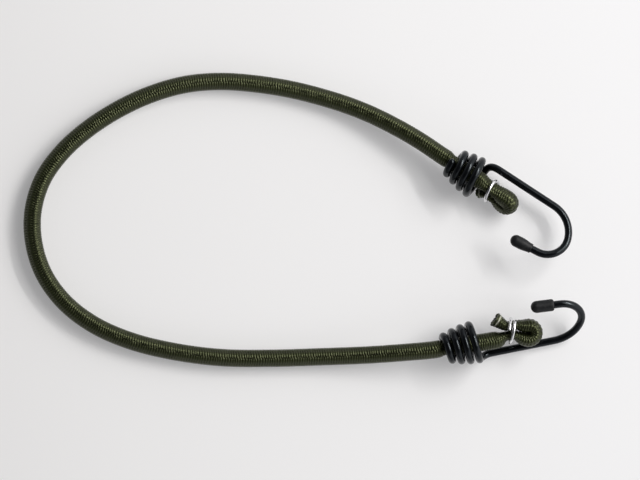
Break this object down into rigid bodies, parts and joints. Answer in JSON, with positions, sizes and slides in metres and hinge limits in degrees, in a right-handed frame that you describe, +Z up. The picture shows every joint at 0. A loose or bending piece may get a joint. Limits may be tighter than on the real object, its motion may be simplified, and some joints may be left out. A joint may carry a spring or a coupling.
{
  "type": "bungee cord",
  "caption": "Elastic cord of rubber strands in an olive braided sheath, its ends folded back and clipped inside coiled wire hooks with a black coating and capped tips.",
  "frame": {"origin": "middle of the box that holds the part, on the surface that the cord lies on", "axes": "+X from the cord's bend towards the hooks, +Y towards hook a, +Z up from the surface"},
  "size_m": [0.2591, 0.136, 0.0226],
  "materials": {
    "braided_sheath": "matte olive drab braid",
    "rubber_core": "matte dark latex",
    "hook_wire": "drawn wire",
    "hook_coating": "smooth black vinyl",
    "tip_cap": "satin black vinyl",
    "clip": "bright drawn wire"
  },
  "bodies": {
    "cord": {"cord_sheath": "braided_sheath", "core_strand_1": "rubber_core", "core_strand_2": "rubber_core", "core_strand_3": "rubber_core", "core_strand_4": "rubber_core", "core_strand_5": "rubber_core", "core_strand_6": "rubber_core", "core_strand_7": "rubber_core"},
    "end_a": {"sheath_end_a": "braided_sheath", "core_end_a": "rubber_core", "clip_a": "clip"},
    "hook_a": {"hook_wire_a": "hook_wire", "hook_coating_a": "hook_coating", "tip_cap_a": "tip_cap"},
    "end_b": {"sheath_end_b": "braided_sheath", "core_end_b": "rubber_core", "clip_b": "clip"},
    "hook_b": {"hook_wire_b": "hook_wire", "hook_coating_b": "hook_coating", "tip_cap_b": "tip_cap"}
  },
  "joints": [
    {"name": "stretch_a", "type": "slide", "parent": "cord", "child": "end_a", "axis": [1, 0, 0], "range_m": [0, 0.18], "stiffness_N_per_m": 700, "deforming": ["cord_sheath", "core_strand_1", "core_strand_2", "core_strand_3", "core_strand_4", "core_strand_5", "core_strand_6", "core_strand_7"]},
    {"name": "stretch_b", "type": "slide", "parent": "cord", "child": "end_b", "axis": [1, 0, 0], "range_m": [0, 0.18], "stiffness_N_per_m": 700, "deforming": ["cord_sheath", "core_strand_1", "core_strand_2", "core_strand_3", "core_strand_4", "core_strand_5", "core_strand_6", "core_strand_7"]},
    {"name": "swivel_a", "type": "hinge", "parent": "end_a", "child": "hook_a", "pos_m": [0.0673, 0.0268, 0.00979], "axis": [0.8365, -0.5474, 0.0262], "range_deg": [-50, 180]},
    {"name": "swivel_b", "type": "hinge", "parent": "end_b", "child": "hook_b", "pos_m": [0.064, -0.0592, 0.01061], "axis": [0.9806, 0.1942, -0.0262], "range_deg": [-150, 85]}
  ]
}
